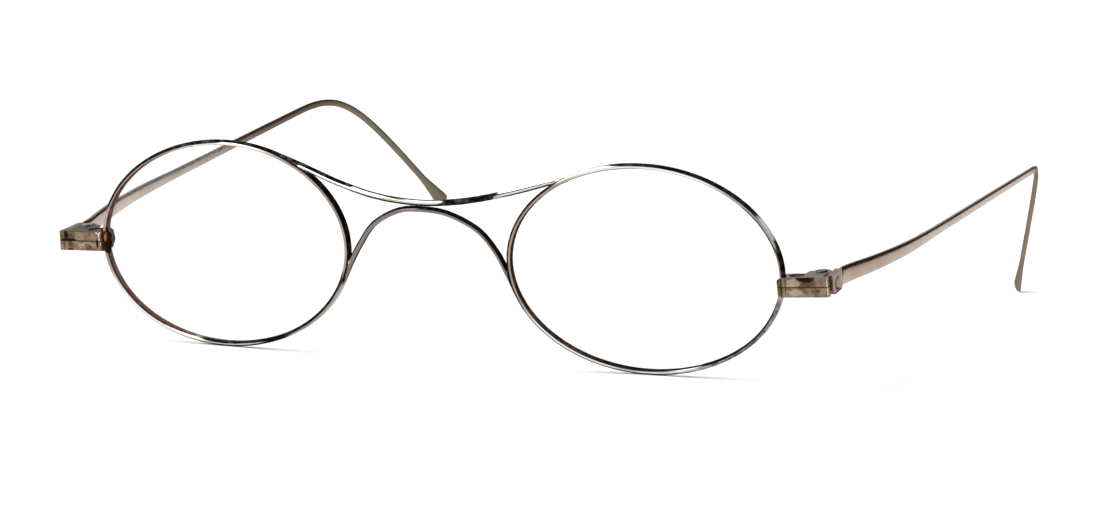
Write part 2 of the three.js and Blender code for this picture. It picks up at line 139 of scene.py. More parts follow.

# Black tarnish and painted dark reflection on the rims' outer and inner edges: an arc, and how far from the
# wire's middle it begins
OUTER_BLACK = {
    "left": ((55, 36, 1.0, -0.06), (112, 26, 0.95, 0.08), (165, 36, 1.0, 0.1), (312, 28, 0.5, 0.1),
             (265, 22, 1.0, 0.05)),
    "right": ((84, 22, 1.0, 0.05), (52, 12, 0.6, 0.15), (8, 12, 0.9, -0.1), (172, 42, 1.0, 0.02),
              (236, 26, 0.9, 0.05), (272, 20, 1.0, 0.05), (322, 26, 0.4, 0.1)),
}
INNER_BLACK = {
    "left": ((226, 32, 1.0, -0.04), (268, 18, 1.0, 0.15), (40, 30, 0.25, 0.2), (326, 24, 0.2, 0.25),
             (150, 16, 0.6, 0.1)),
    "right": ((172, 38, 0.76, 0.28), (112, 20, 0.85, 0.2), (32, 14, 1.0, 0.1), (236, 26, 0.4, 0.25),
              (272, 24, 0.8, 0.2), (322, 26, 1.0, 0.05)),
}

# Across the rim wire: where each finish begins and is full, half the groove, and how soft the black is
RUST_INSIDE = (-0.17, -0.3)
GROOVE_HALF = 0.1
BRIGHT_FRONT = (0.22, 0.12)
GLINT_OUTSIDE = (0.05, 0.2)
BLACK_SOFT = 0.1

# Bridge, along X in millimetres: a black patch as middle and half length, and a stretch as its two ends
BRIDGE_PATCH = (8.6, 4.0)
BRIDGE_STRETCH = (-26, -8.2)
STRETCH_SOFT = 1
STRETCH_END_SOFT = 0.8

# Edge of the patch as shares of its half length, and how far it slants with the surface's upward slope
PATCH_EDGE = (0.6, 1.2)
PATCH_SLANT = 0.5

# Film and painted dark reflection on the bridge: a place, an amount, and the upward slope of the surface
# where it begins and is full
BRIDGE_FILM_AND_REFLECTION = (
    ("stretch", 1.0, 0.25, 0.5),
    ("dip", 1.0, -0.05, -0.35),
    ("dip", 0.7, 0.6, 0.9),
    ("stretch", 0.55, -0.3, -0.6),
    ("rise", 0.55, 0.1, -0.3),
)
BRIDGE_BRIGHT = 0.3
BRIDGE_BRIGHTER = 0.5
BRIDGE_BRIGHT_SLOPE = (-0.45, -0.1)

# Film and painted dark reflection on the arch, by how much the surface faces away from the arch's middle
ARCH_MIDDLE = (1.7, 12)
ARCH_OUTER = (0.2, 0.6)
ARCH_INNER = (-0.6, -0.9)
ARCH_INNER_AMOUNT = 0.6
ARCH_LEFT_LEG = (-4, -6)

# Film on the temples: where along Y it begins and is full in millimetres, and its most
HOOK_FILM = {"left": (-44, 32, 0.68), "right": (36, 46, 0.6)}

# Marks on the end pieces' fronts: outwards and up from the end of the wire, half length and half height
BLACK_MARKS = {
    "left": ((5.55, 0.75, 0.32, 0.65), (5.2, 0.14, 1.2, 0.2), (4.95, -1.12, 0.4, 0.09),
             (0.98, -0.3, 0.16, 0.6), (3.64, 0.53, 0.08, 0.08), (2.75, 0.64, 0.08, 0.07),
             (2.7, -0.43, 0.13, 0.08), (1.95, -0.8, 0.12, 0.1)),
    # On the right end the first black mark, at the top edge of the front, is a painted dark reflection
    "right": ((3.45, 1.3, 1.3, 0.62), (0.1, 0.0, 0.06, 1.1), (0.68, 0.0, 0.06, 1.1), (-0.4, 0.9, 0.2, 0.35)),
}
BROWN_MARKS = {
    "left": ((5.84, -0.55, 0.18, 0.5), (5.05, -0.35, 0.3, 0.35), (4.9, 0.75, 0.6, 0.55),
             (2.3, -0.8, 0.6, 0.4)),
    "right": ((3.9, 0.6, 0.9, 0.5), (5.1, -0.45, 0.3, 0.2), (0.0, 0.0, 0.3, 1.3)),
}
# Painted highlights: near-white sparkles by the wire on the left end, and a line along the outer end's edge
# on the right
HIGHLIGHT_MARKS = {
    "left": ((1.05, 1.15, 0.1, 0.1), (0.75, 1.0, 0.14, 0.09), (0.5, 1.2, 0.1, 0.08), (0.7, 0.72, 0.06, 0.12),
             (0.65, 0.15, 0.05, 0.33), (0.5, -0.35, 0.04, 0.2)),
    "right": ((6.45, 0.0, 0.03, 1.2),),
}
PALE_MARKS = {"left": ((2.6, -0.6, 1.3, 0.45),), "right": ((1.8, 0.65, 1.0, 0.6), (2.0, -0.65, 1.2, 0.4))}

# Edge of a mark as shares of its half sizes, and how ragged the pale, black and splashed ones are
MARK_EDGE = (1.2, 0.8)
RAGGED = 1.6
RAGGED_BLACK = 0.8
SPLASHED = 4.0

# End pieces in their own millimetres: the front face, the top, the split and the rusty end beside the rim
FRONT_EDGE = (BLOCK_FRONT + 0.25, BLOCK_FRONT + 0.1)
TOP_EDGE = (BLOCK_TOP - 0.12, BLOCK_TOP - 0.03)
SPLIT_EDGE = (0.09, 0.045)
SPLIT_RAGGED = 0.12
RUSTY_END = {"left": 0.42, "right": -1.0}
RUSTY_SOFT = 0.15

# Round mark on the outer side of a knuckle, back and up with half length and half height, and its hole
KNUCKLE_MARK = (3.0, -0.2, 1.6, 0.85)
KNUCKLE_RING = 0.68
KNUCKLE_RAGGED = 0.4
RING_FADE = 0.6

# Where a knuckle turns paler towards the back, and darkens at its lower edge: painted light and shade of its
# rounded side
KNUCKLE_PALE = (4.2, 5.2)
KNUCKLE_LOW = (-1.0, -1.2)
LOW_RAGGED = 0.3

# Rust crust on the left rim end, in the end piece's own millimetres: middles and half sizes of its lumps
CRUST_LUMPS = (
    ((-0.3, -0.4, 0.05), (0.62, 0.75, 1.7)),
    ((0.0, 1.0, 0.1), (0.5, 1.15, 1.3)),
    ((0.2, -0.1, 1.3), (0.35, 0.5, 0.5)),
)
CRUST_DIVISIONS = 5

# Bumps on a lump as heights and counts, and the middle and half sizes of an orange patch on the crust
CRUST_BUMPS = ((0.25, 2.3), (0.12, 6.1))
CRUST_GLOW = ((-0.4, -1.0, 0.7), (0.2, 0.5, 0.5))
GLOW_RAGGED = 2.5

# Tones, as linear red, green and blue
WHITE = (1.0, 1.0, 1.0)
RUST_BROWNS = ((0.055, 0.013, 0.001), (0.19, 0.05, 0.005))
RUST_ORANGE = (0.4, 0.14, 0.022)
COOL_GREYS = ((0.08, 0.083, 0.1), (0.26, 0.26, 0.27))
BRIGHT_STEEL = (0.9, 0.89, 0.88)
GLINT_WHITE = (0.95, 0.95, 0.96)
WIRE_FILM_AND_REFLECTION = (0.004, 0.004, 0.004)
HOOK_OLIVE = (0.12, 0.112, 0.083)
STAINS = ((0.255, 0.18, 0.126), (0.12, 0.08, 0.052))
STAIN_PALE = (0.45, 0.35, 0.26)
STAIN_FRECKLE = (0.09, 0.05, 0.025)
STAIN_BROWN = (0.085, 0.045, 0.02)
PAINTED_HIGHLIGHT_WHITE = (0.95, 0.94, 0.93)
END_BLACK = (0.008, 0.005, 0.003)
STAIN_RUST = (0.03, 0.008, 0.002)
# The end pieces' tops are painted darker and their reflection tinted dimmer, as painted shade
TOP_TONE = {"left": (0.045, 0.04, 0.037), "right": (0.12, 0.108, 0.098)}
TOP_SHEEN = {"left": (0.72, 0.69, 0.67), "right": (0.97, 0.94, 0.91)}
KNUCKLE_BROWNS = ((0.2, 0.108, 0.062), (0.12, 0.063, 0.035))
# The knuckle's paler back is painted light; its dark is the round mark and painted shade along the lower edge
KNUCKLE_GREY = (0.34, 0.29, 0.25)
KNUCKLE_DARK = (0.03, 0.016, 0.008)
CRUST_BROWNS = ((0.01, 0.003, 0.001), (0.05, 0.012, 0.002))
CRUST_ORANGE = (0.36, 0.125, 0.016)
GLASS_CLEAR = (WHITE, (0.985, 0.995, 0.99))
GLASS_EDGE = (0.9, 0.8, 0.7)
FLOOR_GREYS = ((0.93, 0.93, 0.925), (0.95, 0.95, 0.945))

# Strengths of the stains and of the painted shade on the end pieces and knuckles
PALE_SHARE = 0.6
FRECKLE_SHARE = 0.6
TOP_SHARE = 0.9
BROWN_SHARE = 0.75
KNUCKLE_DARK_SHARE = 0.85

# Grains: a noise's features per metre, detail and roughness
PATCH_GRAIN = (210, 5, 0.6)
COOL_GRAIN = (900, 4, 0.6)
FILM_AND_REFLECTION_GRAIN = (1300, 4, 0.6)
RUST_GRAIN = (1100, 5, 0.65)
BROWN_GRAIN = (1700, 4, 0.6)
ORANGE_GRAIN = (3100, 3, 0.6)
FINE_GRAIN = (2600, 3, 0.6)
SCRATCH_GRAIN = (900, 3, 0.7)
PIT_GRAIN = (3800, 2, 0.5)
OUTLINE_GRAIN = (2600, 4, 0.6)
SPLASH_GRAIN = (5200, 4, 0.7)
STAIN_GRAIN = (650, 5, 0.6)
FRECKLE_GRAIN = (3300, 3, 0.6)
CRUST_GRAIN = (1500, 5, 0.65)
CRUST_DULL_GRAIN = (3500, 3, 0.6)
FLAKE_GRAIN = (5200, 4, 0.65)
GLASS_GRAIN = (60, 3, 0.55)
FLOOR_GRAIN = (3, 2, 0.55)

# Ranges over which one look turns into the next, with the two results where they aren't 0 and 1
COOL_EDGE = (0.42, 0.6)
FILM_AND_REFLECTION_BREAKS = (0.3, 0.55, 0.88, 1.0)
RUST_EDGE = (0.75, 0.95)
BROWN_EDGE = (0.4, 0.6)
ORANGE_EDGE = (0.64, 0.74)
FINE_EDGE = (0.35, 0.75)
PIT_EDGE = (0.66, 0.78)
STAIN_EDGE = (0.4, 0.62)
FRECKLE_EDGE = (0.6, 0.7)
KNUCKLE_EDGE = (0.42, 0.62)
CRUST_EDGE = (0.4, 0.62)
CRUST_DULLNESS = (0.35, 0.7, 0.4, 0.85)
BARE_EDGE = (0.95, 0.7)
RUST_METAL_EDGE = (0.8, 0.2)
GLASS_FACE = (0.9, 0.97)
GLASS_GLOSS = (0.0, 1.0, 0.008, 0.6)

# Surface of the steels
SHEEN = 0.06
RUST_REACH = 0.8
FILM_AND_REFLECTION_DULLNESS = 0.4
FINE_ROUGHNESS = 0.06
DULL_ROUGHNESS = 0.4
SCRATCH_STRETCH = (0.08, 0.6, 6.0)
SCRATCH_HEIGHT = 0.25
BUMP_STRENGTH = 0.25
BUMP_DISTANCE = 0.03 * MM
PLATE_GLOSS = 0.26
PLATE_PITS = 1.0

# Surface of the crust and the floor
CRUST_SHEEN = 0.04
FLAKE_STRENGTH = 0.6
FLAKE_DISTANCE = 0.08 * MM
FLOOR_ROUGHNESS = 0.7
FLOOR_SHEEN = 0.1

# Steels: light and dark tone, edge of the dark patches, gloss, pits, tone of the film and painted dark
# reflection, and its edge
CRISP = (0.35, 0.62)
FADING = (0.0, 1.0)
STEELS = {
    "polished_steel": ((0.35, 0.3, 0.265), (0.27, 0.225, 0.19), (0.42, 0.66), 0.05, 0.4, WIRE_FILM_AND_REFLECTION, CRISP),
    "arch_steel": ((0.22, 0.18, 0.16), (0.15, 0.12, 0.105), (0.42, 0.66), 0.06, 0.4, WIRE_FILM_AND_REFLECTION, CRISP),
    "temple_steel": ((0.4, 0.296, 0.226), (0.325, 0.237, 0.181), (0.45, 0.7), 0.2, 0.4, HOOK_OLIVE, FADING),
    "dark_steel": ((0.16, 0.15, 0.14), (0.06, 0.052, 0.045), (0.45, 0.66), 0.25, 0.6, WIRE_FILM_AND_REFLECTION, CRISP),
    "black_steel": ((0.03, 0.027, 0.025), (0.01, 0.009, 0.008), (0.4, 0.6), 0.3, 0.6, WIRE_FILM_AND_REFLECTION, CRISP),
}


# Node helpers
def add_node(tree, kind, inputs=None, **settings):
    made = tree.nodes.new(kind)
    for key, value in settings.items():
        setattr(made, key, value)
    for key, value in (inputs or {}).items():
        put(tree, made.inputs[key], value)
    return made


def put(tree, socket, value):
    """Link a socket, or set a plain value."""
    if isinstance(value, bpy.types.NodeSocket):
        tree.links.new(value, socket)
    else:
        socket.default_value = value


def noise_at(tree, scale, detail, roughness, stretch=(1, 1, 1)):
    """Noise in object space, with scale in features per metre."""
    place = add_node(tree, "ShaderNodeTexCoord")
    mapping = add_node(tree, "ShaderNodeMapping", {"Vector": place.outputs["Object"], "Scale": stretch})
    inputs = {"Vector": mapping.outputs["Vector"], "Scale": scale, "Detail": detail, "Roughness": roughness}
    return add_node(tree, "ShaderNodeTexNoise", inputs).outputs["Fac"]


def ramp(tree, value, low, high, out_low=0.0, out_high=1.0):
    inputs = {"Value": value, "From Min": low, "From Max": high, "To Min": out_low, "To Max": out_high}
    return add_node(tree, "ShaderNodeMapRange", inputs, interpolation_type="SMOOTHSTEP").outputs["Result"]


def colour(parts):
    return (*parts, 1.0)


def mixed(tree, share, first, second):
    """The first tone, turning into the second with share. A tone is three parts or a linked socket."""
    made = add_node(tree, "ShaderNodeMix", data_type="RGBA")
    put(tree, made.inputs["Factor"], share)
    for key, tone in (("A", first), ("B", second)):
        put(tree, made.inputs[key], colour(tone) if isinstance(tone, tuple) else tone)
    return made.outputs["Result"]


def mottled(tree, grain, edge, tones):
    """Two tones in patches of a grain."""
    return mixed(tree, ramp(tree, noise_at(tree, *grain), *edge), *tones)


def math_node(tree, operation, first, second=0.0):
    made = add_node(tree, "ShaderNodeMath", operation=operation)
    put(tree, made.inputs[0], first)
    put(tree, made.inputs[1], second)
    return made.outputs["Value"]


def times(tree, first, second):
    return math_node(tree, "MULTIPLY", first, second)


def plus(tree, first, second):
    return math_node(tree, "ADD", first, second)


def minus(tree, first, second):
    return math_node(tree, "SUBTRACT", first, second)


def most(tree, first, second):
    return math_node(tree, "MAXIMUM", first, second)


def wander(tree, grain):
    """Noise about zero, to break an outline with."""
    return minus(tree, noise_at(tree, *grain), 0.5)


def split_up(tree, vector):
    return add_node(tree, "ShaderNodeSeparateXYZ", {"Vector": vector}).outputs


def painted(tree, name):
    return add_node(tree, "ShaderNodeAttribute", attribute_name=name).outputs["Fac"]


def new_material(name):
    made = bpy.data.materials.new(name)
    made.use_nodes = True
    return made, made.node_tree, made.node_tree.nodes["Principled BSDF"]


# Materials
def worn_surface(tree, shader, gloss, dull, pits, sheen=SHEEN):
    """Roughness that rises with dull, fine scratches and small pits."""
    put(tree, shader.inputs["Specular IOR Level"], sheen)
    fine = ramp(tree, noise_at(tree, *FINE_GRAIN), *FINE_EDGE, gloss, gloss + FINE_ROUGHNESS)
    put(tree, shader.inputs["Roughness"], plus(tree, fine, times(tree, dull, DULL_ROUGHNESS)))
    scratch = times(tree, noise_at(tree, *SCRATCH_GRAIN, SCRATCH_STRETCH), SCRATCH_HEIGHT)
    hollow = times(tree, ramp(tree, noise_at(tree, *PIT_GRAIN), *PIT_EDGE), pits)
    height = minus(tree, scratch, hollow)
    inputs = {"Height": height, "Strength": BUMP_STRENGTH, "Distance": BUMP_DISTANCE}
    bump = add_node(tree, "ShaderNodeBump", inputs)
    put(tree, shader.inputs["Normal"], bump.outputs["Normal"])


def rust_tone(tree):
    brown = mottled(tree, BROWN_GRAIN, BROWN_EDGE, RUST_BROWNS)
    return mottled(tree, ORANGE_GRAIN, ORANGE_EDGE, (brown, RUST_ORANGE))


def steel_material(name, light, dark, patch_edge, gloss, pits, film, film_and_reflection_edge):
    """Old steel in two tones, with the cool, bright, rusty and glinting places painted on it, and film that
    on the wires is also painted dark reflection.
    """
    made, tree, shader = new_material(name)
    tone = mottled(tree, PATCH_GRAIN, patch_edge, (light, dark))
    cool = mottled(tree, COOL_GRAIN, COOL_EDGE, COOL_GREYS)
    tone = mixed(tree, painted(tree, "cool"), tone, cool)
    tone = mixed(tree, painted(tree, "bright"), tone, BRIGHT_STEEL)
    # film and painted dark reflection, broken up by noise
    broken = ramp(tree, noise_at(tree, *FILM_AND_REFLECTION_GRAIN), *FILM_AND_REFLECTION_BREAKS)
    film_and_reflection = times(tree, ramp(tree, painted(tree, "film"), *film_and_reflection_edge), broken)
    put(tree, shader.inputs["Specular Tint"], mixed(tree, film_and_reflection, WHITE, film))
    amount = times(tree, painted(tree, "rust"), RUST_REACH)
    rusty = ramp(tree, plus(tree, noise_at(tree, *RUST_GRAIN), amount), *RUST_EDGE)
    tone = mixed(tree, rusty, tone, rust_tone(tree))
    glint = painted(tree, "glint")
    tone = mixed(tree, glint, tone, GLINT_WHITE)
    put(tree, shader.inputs["Base Color"], mixed(tree, film_and_reflection, tone, film))
    bare = ramp(tree, most(tree, film_and_reflection, glint), *BARE_EDGE)
    metal = times(tree, ramp(tree, rusty, *RUST_METAL_EDGE), bare)
    put(tree, shader.inputs["Metallic"], metal)
    dull = plus(tree, rusty, times(tree, film_and_reflection, FILM_AND_REFLECTION_DULLNESS))
    worn_surface(tree, shader, gloss, dull, pits, times(tree, metal, SHEEN))
    return made


def mark(tree, here, ragged, middle, half):
    """A spot with a broken outline."""
    inputs = {"Vector": here, "Location": middle, "Scale": half}
    around = add_node(tree, "ShaderNodeMapping", inputs, vector_type="TEXTURE").outputs["Vector"]
    reach = add_node(tree, "ShaderNodeVectorMath", {0: around}, operation="LENGTH").outputs["Value"]
    return ramp(tree, plus(tree, reach, ragged), *MARK_EDGE)


def marks(tree, here, ragged, spots):
    """All the spots of one kind on the front of an end piece together."""
    share = 0.0
    for middle_x, middle_z, half_long, half_high in spots:
        spot = mark(tree, here, ragged, (middle_x, 0, middle_z), (half_long, FAR, half_high))
        share = most(tree, share, spot)
    return share


def end_place(tree, side):
    """Object coordinates in the end piece's own frame, in millimetres."""
    place = add_node(tree, "ShaderNodeTexCoord").outputs["Object"]
    bench = end_bench(side)
    inputs = {"Vector": place, "Location": bench.to_translation(), "Rotation": end_turn(side).to_euler()}
    inputs["Scale"] = (outer(side) * MM, MM, MM)
    return add_node(tree, "ShaderNodeMapping", inputs, vector_type="TEXTURE").outputs["Vector"]


def end_material(side):
    """Stained steel of an end piece: mottled front with its marks, some of them painted highlights and a
    painted dark reflection, a top painted greyer as shade, a dark line at the split.
    """
    made, tree, shader = new_material(f"{side}_stained_steel")
    here = end_place(tree, side)
    parts = split_up(tree, here)
    outline = wander(tree, OUTLINE_GRAIN)
    splashed = times(tree, wander(tree, SPLASH_GRAIN), SPLASHED)
    front = ramp(tree, parts["Y"], *FRONT_EDGE)
    top = ramp(tree, parts["Z"], *TOP_EDGE)

    tone = mottled(tree, STAIN_GRAIN, STAIN_EDGE, STAINS)
    pale = marks(tree, here, times(tree, outline, RAGGED), PALE_MARKS[side])
    tone = mixed(tree, times(tree, pale, PALE_SHARE), tone, STAIN_PALE)
    freckles = ramp(tree, noise_at(tree, *FRECKLE_GRAIN), *FRECKLE_EDGE)
    tone = mixed(tree, times(tree, freckles, FRECKLE_SHARE), tone, STAIN_FRECKLE)
    # painted shade: the top is darkened
    tone = mixed(tree, times(tree, top, TOP_SHARE), tone, TOP_TONE[side])
    brown = times(tree, marks(tree, here, splashed, BROWN_MARKS[side]), front)
    tone = mixed(tree, times(tree, brown, BROWN_SHARE), tone, STAIN_BROWN)
    # painted highlights: near-white spots on the front
    bright = times(tree, marks(tree, here, splashed, HIGHLIGHT_MARKS[side]), front)
    tone = mixed(tree, bright, tone, PAINTED_HIGHLIGHT_WHITE)

    # black marks, one of them a painted dark reflection on the right end, and the dark line at the split
    black = marks(tree, here, times(tree, outline, RAGGED_BLACK), BLACK_MARKS[side])
    height = plus(tree, math_node(tree, "ABSOLUTE", parts["Z"]), times(tree, outline, SPLIT_RAGGED))
    dark = most(tree, times(tree, black, front), ramp(tree, height, *SPLIT_EDGE))
    tone = mixed(tree, dark, tone, END_BLACK)
    rust_from, rust_full = RUSTY_END[side] + RUSTY_SOFT, RUSTY_END[side] - RUSTY_SOFT
    rusty = ramp(tree, plus(tree, parts["X"], outline), rust_from, rust_full)
    put(tree, shader.inputs["Base Color"], mixed(tree, rusty, tone, STAIN_RUST))
    # painted shade: the top's reflection is tinted dimmer
    put(tree, shader.inputs["Specular Tint"], mixed(tree, top, WHITE, TOP_SHEEN[side]))
    put(tree, shader.inputs["Metallic"], minus(tree, 1.0, most(tree, rusty, dark)))
    worn_surface(tree, shader, PLATE_GLOSS, plus(tree, plus(tree, brown, dark), rusty), PLATE_PITS)
    return made


def knuckle_material(side):
    """Brown steel of a knuckle, paler at the back as painted light, with a round mark on its side and a lower
    edge darkened as painted shade.
    """
    made, tree, shader = new_material(f"{side}_knuckle_steel")
    here = end_place(tree, side)
    parts = split_up(tree, here)
    outline = wander(tree, OUTLINE_GRAIN)
    tone = mottled(tree, STAIN_GRAIN, KNUCKLE_EDGE, KNUCKLE_BROWNS)
    # painted light: the knuckle turns paler towards the back
    tone = mixed(tree, ramp(tree, parts["Y"], *KNUCKLE_PALE), tone, KNUCKLE_GREY)
    middle_y, middle_z, half_long, half_high = KNUCKLE_MARK
    ragged = times(tree, outline, KNUCKLE_RAGGED)
    middle = (0, middle_y, middle_z)
    spot = mark(tree, here, ragged, middle, (FAR, half_long, half_high))
    hole = mark(tree, here, ragged, middle, (FAR, half_long * KNUCKLE_RING, half_high * KNUCKLE_RING))
    front_half = ramp(tree, parts["Y"], middle_y + RING_FADE, middle_y)
    ring = times(tree, minus(tree, spot, hole), front_half)
    # painted shade: the knuckle darkens along its lower edge
    low = ramp(tree, plus(tree, parts["Z"], times(tree, outline, LOW_RAGGED)), *KNUCKLE_LOW)
    dark = most(tree, ring, low)
    tone = mixed(tree, times(tree, dark, KNUCKLE_DARK_SHARE), tone, KNUCKLE_DARK)
    put(tree, shader.inputs["Base Color"], tone)
    shader.inputs["Metallic"].default_value = 1.0
    worn_surface(tree, shader, PLATE_GLOSS, dark, PLATE_PITS)
    return made


def crust_material():
    """Flaky rust, nearly black in the hollows, with one orange patch."""
    made, tree, shader = new_material("rust_crust")
    here = end_place(tree, "left")
    ragged = times(tree, wander(tree, OUTLINE_GRAIN), GLOW_RAGGED)
    tone = mottled(tree, CRUST_GRAIN, CRUST_EDGE, CRUST_BROWNS)
    tone = mixed(tree, mark(tree, here, ragged, *CRUST_GLOW), tone, CRUST_ORANGE)
    put(tree, shader.inputs["Base Color"], tone)
    shader.inputs["Specular IOR Level"].default_value = CRUST_SHEEN
    put(tree, shader.inputs["Roughness"], ramp(tree, noise_at(tree, *CRUST_DULL_GRAIN), *CRUST_DULLNESS))
    flakes = noise_at(tree, *FLAKE_GRAIN)
    inputs = {"Height": flakes, "Strength": FLAKE_STRENGTH, "Distance": FLAKE_DISTANCE}
    bump = add_node(tree, "ShaderNodeBump", inputs)
    put(tree, shader.inputs["Normal"], bump.outputs["Normal"])
    return made


def glass_material():
    """Clear thin glass with a faint gloss on its two faces and a brownish dirty edge."""
    made, tree, shader = new_material("clear_glass")
    tree.nodes.remove(shader)
    clean = mixed(tree, noise_at(tree, *GLASS_GRAIN), *GLASS_CLEAR)
    facing = split_up(tree, add_node(tree, "ShaderNodeTexCoord").outputs["Normal"])
    face = ramp(tree, math_node(tree, "ABSOLUTE", facing["Y"]), *GLASS_FACE)
    clear = add_node(tree, "ShaderNodeBsdfTransparent", {"Color": mixed(tree, face, GLASS_EDGE, clean)})
    gloss = add_node(tree, "ShaderNodeBsdfGlossy", {"Color": colour(WHITE), "Roughness": 0.0})
    aslant = add_node(tree, "ShaderNodeLayerWeight", {"Blend": 0.5}).outputs["Facing"]
    share = times(tree, ramp(tree, aslant, *GLASS_GLOSS), face)
    inputs = {0: share, 1: clear.outputs["BSDF"], 2: gloss.outputs["BSDF"]}
    both = add_node(tree, "ShaderNodeMixShader", inputs)
    put(tree, tree.nodes["Material Output"].inputs["Surface"], both.outputs["Shader"])
    return made


def floor_material():
    made, tree, shader = new_material("pale_floor")
    put(tree, shader.inputs["Base Color"], mixed(tree, noise_at(tree, *FLOOR_GRAIN), *FLOOR_GREYS))
    shader.inputs["Roughness"].default_value = FLOOR_ROUGHNESS
    shader.inputs["Specular IOR Level"].default_value = FLOOR_SHEEN
    return made


# Frames of the eyes and end pieces
def outer(side):
    return 1 if side == "right" else -1


def eye_frame(side):
    """Middle of a lens with its outward, upward and facing directions."""
    mesh = frame["nodes"][f"{side}_lens"].data
    lowest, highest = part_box(f"{side}_lens")
    middle = (lowest + highest) / 2
    facing = max(mesh.polygons, key=lambda p: p.area * -p.normal.y).normal.normalized()
    outer_half = [v.co - middle for v in mesh.vertices if (v.co.x - middle.x) * outer(side) > 0]
    furthest = max(outer_half, key=lambda away: away.length)
    outward = (furthest - facing * furthest.dot(facing)).normalized()
    upward = outward.cross(facing)
    return middle, outward, upward if upward.z > 0 else -upward, facing


def eye_finder(side):
    """A function giving a point's turn round the eye, and how far outside and in front of the wire it is."""
    middle, outward, upward, facing = eye_frame(side)

    def find(place):
        away = (place - middle) / MM
        across, up = away.dot(outward), away.dot(upward)
        reach = math.hypot(across / EYE_HALF_WIDTH, up / EYE_HALF_HEIGHT)
        slope = math.hypot(across / EYE_HALF_WIDTH**2, up / EYE_HALF_HEIGHT**2) / reach
        turn = math.degrees(math.atan2(up / EYE_HALF_HEIGHT, across / EYE_HALF_WIDTH))
        return turn, (reach - 1) / slope, away.dot(facing)

    return find


def end_turn(side):
    lean = Matrix.Rotation(math.radians(FRAME_LEAN), 3, "X")
    return lean @ Matrix.Rotation(math.radians(-outer(side) * END_TIP_UP[side]), 3, "Y")


def end_bench(side):
    """From an end piece's own millimetres, outwards, back and up from the end of the wire, to the frame."""
    turn = end_turn(side)
    size = Matrix.Diagonal((outer(side) * MM, MM, MM))
    screw = [turn.transposed() @ v.co for v in frame["nodes"][f"{side}_closing_screw"].data.vertices]
    middle = Vector([(min(v[k] for v in screw) + max(v[k] for v in screw)) / 2 for k in range(3)])
    start = turn @ (middle - size @ Vector(CLOSING_SCREW_MIDDLE))
    return Matrix.Translation(start) @ (turn @ size).to_4x4()


# Pieces
def copied_mesh(node, name):
    """A copy of a CAD node's mesh without its own normals and materials."""
    mesh = frame["nodes"][node].data.copy()
    mesh.name = name
    mesh.materials.clear()
    if mesh.has_custom_normals:
        mesh.attributes.remove(mesh.attributes["custom_normal"])
    return mesh


def edited(mesh, edit):
    work = bmesh.new()
    work.from_mesh(mesh)
    bmesh.ops.remove_doubles(work, verts=work.verts, dist=WELD)
    edit(work)
    for face in work.faces:
        face.smooth = True
    work.to_mesh(mesh)
    work.free()


def to_quads(work):
    bmesh.ops.join_triangles(
        work, faces=work.faces,
        angle_face_threshold=math.radians(QUAD_FACE_ANGLE),
        angle_shape_threshold=math.radians(QUAD_SHAPE_ANGLE),
    )


def to_wire(work):
    to_quads(work)
    grown(work)


def grown(work):
    """Move the points out by what smoothing takes off, but not out of the piece's own box."""
    lowest = [min(vert.co[k] for vert in work.verts) for k in range(3)]
    highest = [max(vert.co[k] for vert in work.verts) for k in range(3)]
    near = {}
    for vert in work.verts:
        beside = [edge.other_vert(vert).co for edge in vert.link_edges]
        near[vert] = sum(beside, Vector()) / len(beside)
    for vert, middle in near.items():
        further = vert.co + (vert.co - middle) * SMOOTHING_LOSS
        vert.co = [min(max(further[k], lowest[k]), highest[k]) for k in range(3)]


def to_flats(work):
    angle = math.radians(FLAT_ANGLE)
    bmesh.ops.dissolve_limit(work, angle_limit=angle, verts=work.verts, edges=work.edges)


def to_worn_rim(side):
    """An edit that makes quads, with the corners beside the groove worn round."""
    find = eye_finder(side)
    facing = eye_frame(side)[3]

    def edit(work):
        to_quads(work)
        for vert in work.verts:
            _, outside, front = find(vert.co)
            if outside < WORN_FRONT_FROM and abs(front) > WORN_SIDE_DEPTH:
                depth = WORN_SIDE_DEPTH if outside < WORN_SIDE_FROM else WORN_FRONT_DEPTH
                vert.co += facing * (math.copysign(depth, front) - front) * MM
        grown(work)

    return edit


def dressed(node, finish, edit):
    """A piece that stands for a CAD node, on the node's body."""
    mesh = copied_mesh(node, f"{node}_dressed")
    edited(mesh, edit)
    piece = placed(mesh, finish, frame["nodes"][node]["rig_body"])
    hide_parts(node)
    return piece


def placed(mesh, finish, body):
    mesh.materials.append(finish)
    piece = bpy.data.objects.new(mesh.name, mesh)
    bpy.context.scene.collection.objects.link(piece)
    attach(piece, body)
    return piece


def smoothed(piece):
    made = piece.modifiers.new("smooth", "SUBSURF")
    made.levels = SMOOTH_LEVELS
    made.render_levels = SMOOTH_LEVELS


def edged(piece, width):
    made = piece.modifiers.new("edges", "BEVEL")
    made.width = width
    made.segments = BEVEL_SEGMENTS
    made.limit_method = "ANGLE"
    made.angle_limit = math.radians(BEVEL_ANGLE)
    made.harden_normals = True
    normals = piece.modifiers.new("normals", "WEIGHTED_NORMAL")
    normals.keep_sharp = True


def wire(node, finish, edit, amounts):
    """A smooth wire or strip with its finish painted on."""
    piece = dressed(node, finish, edit)
    paint(piece, amounts)
    smoothed(piece)


def paint(piece, amounts):
    """Store the named amounts(place, normal) at every point of a piece."""
    mesh = piece.data
    values = [amounts(v.co, v.normal) for v in mesh.vertices]
    for name in values[0]:
        layer = mesh.attributes.new(name, "FLOAT", "POINT")
        layer.data.foreach_set("value", [value[name] for value in values])


# Amounts of each finish at a point
def eased(value, start, end):
    share = min(max((value - start) / (end - start), 0), 1)
    return share * share * (3 - 2 * share)


